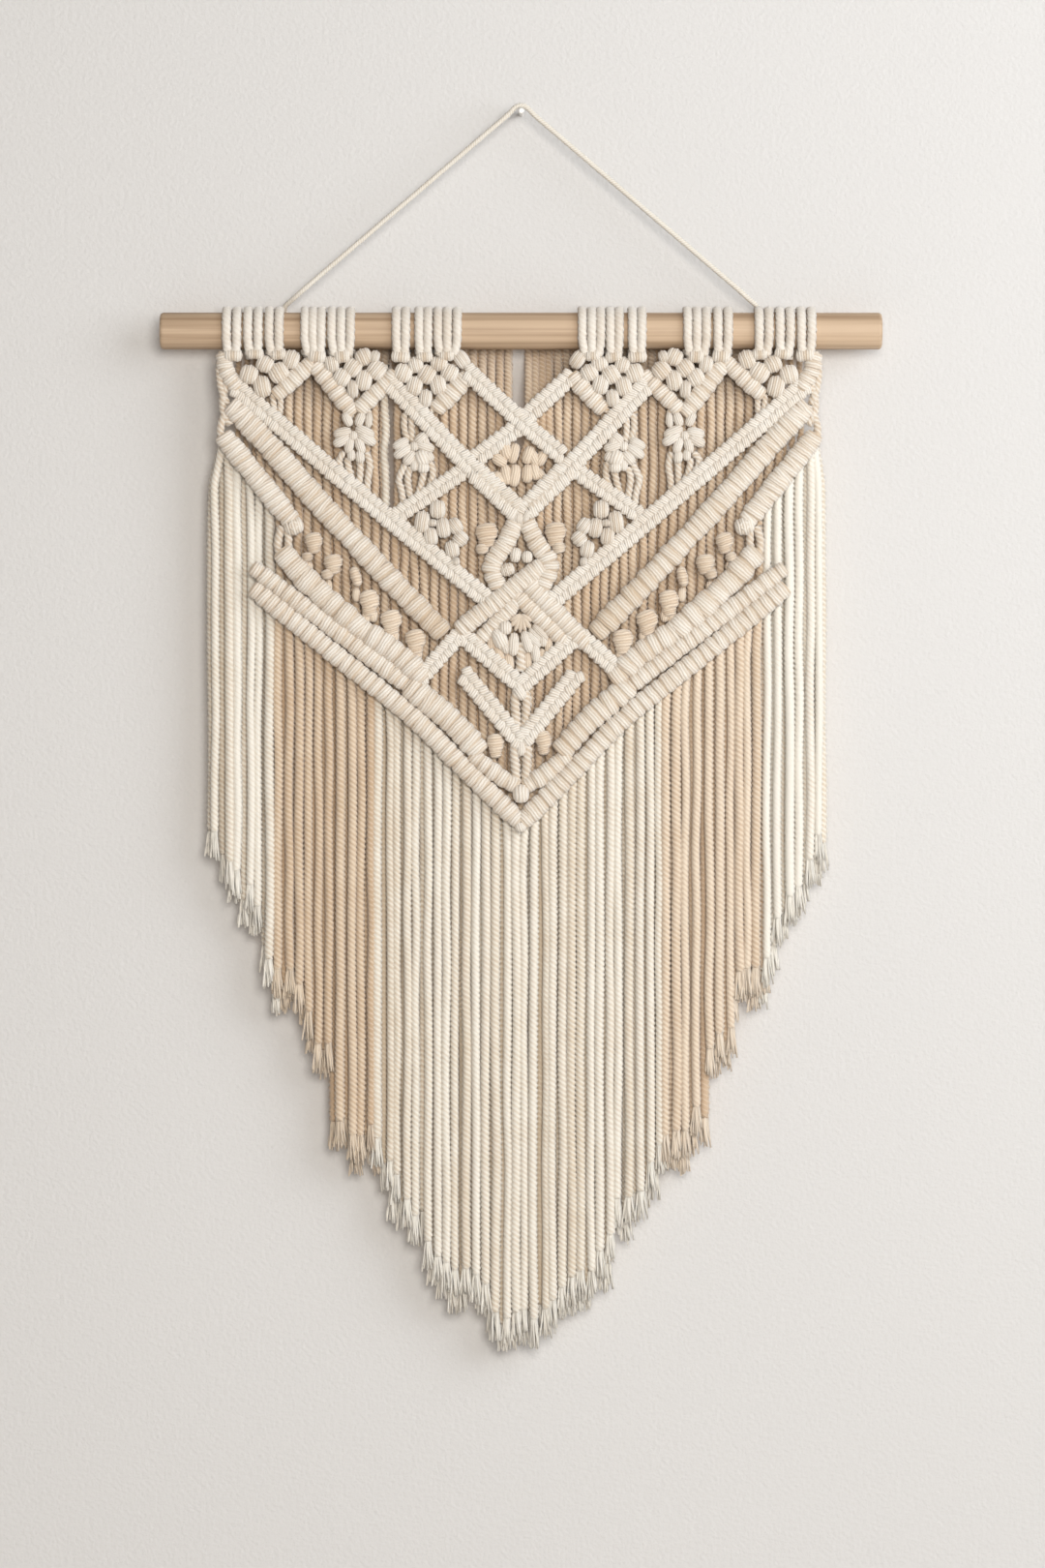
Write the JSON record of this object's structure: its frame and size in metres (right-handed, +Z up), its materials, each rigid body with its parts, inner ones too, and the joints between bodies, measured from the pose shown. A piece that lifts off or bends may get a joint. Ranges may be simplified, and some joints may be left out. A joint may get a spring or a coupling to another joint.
{
  "type": "macrame wall hanging on wooden dowel",
  "caption": "Knotted cream and tan cotton wall hanging with diamond and V bars and a long stepped fringe, on a round wooden dowel with a cord hanger.",
  "frame": {"origin": "at the wall nail, under the hanger cord where it lies over it", "axes": "+X right along the dowel, +Y back to the wall, +Z up"},
  "size_m": [0.44, 0.053, 0.7644],
  "materials": {
    "cream_cotton": "undyed twisted cotton cord",
    "tan_cotton": "tan dyed twisted cotton cord",
    "pale_wood": "smooth bare hardwood with long grain",
    "nail_steel": "plain nail"
  },
  "bodies": {
    "root": {"dowel_rod": "pale_wood", "hanger_cord": "cream_cotton", "wall_nail": "nail_steel", "knot_panel": "cream_cotton", "back_cords": "tan_cotton", "fringe_edge_left": "cream_cotton", "fringe_edge_right": "cream_cotton", "fringe_tan_left": "tan_cotton", "fringe_tan_right": "tan_cotton", "fringe_middle": "cream_cotton"}
  },
  "joints": []
}
